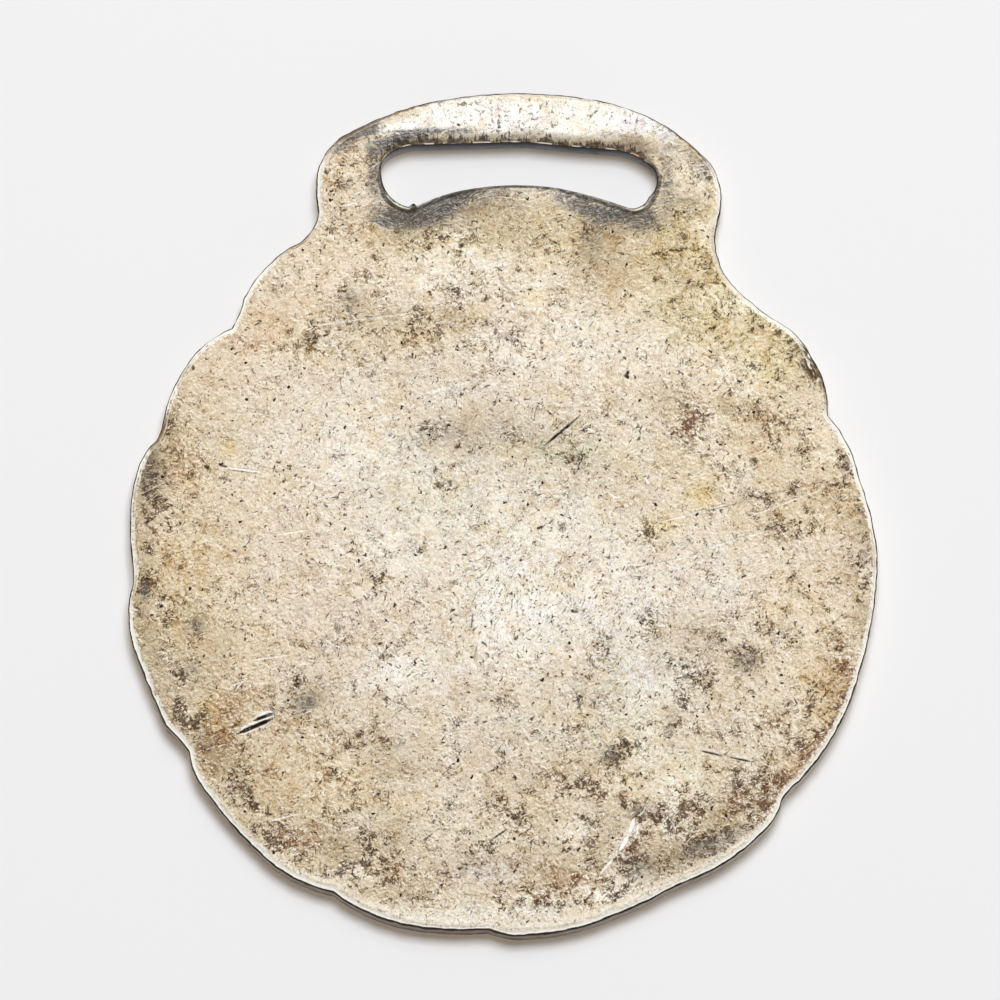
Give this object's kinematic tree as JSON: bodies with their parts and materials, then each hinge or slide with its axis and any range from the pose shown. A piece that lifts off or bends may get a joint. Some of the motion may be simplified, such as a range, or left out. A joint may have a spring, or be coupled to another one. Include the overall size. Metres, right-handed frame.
{
  "type": "pocket watch fob",
  "caption": "Flat die-struck metal fob with a scalloped edge, a plain back and a tab with a curved strap slot.",
  "frame": {"origin": "on the surface that the fob lies on, under the middle of its overall width and length", "axes": "+Z out of the plain back, +Y towards the tab and its strap slot, +X to the right seen from the back"},
  "size_m": [0.038, 0.0433, 0.0019],
  "materials": {
    "silver_plate": "worn silver plate on brass, tarnished grey and straw, with bright rubbed edges"
  },
  "bodies": {
    "root": {"fob_medal": "silver_plate"}
  },
  "joints": []
}
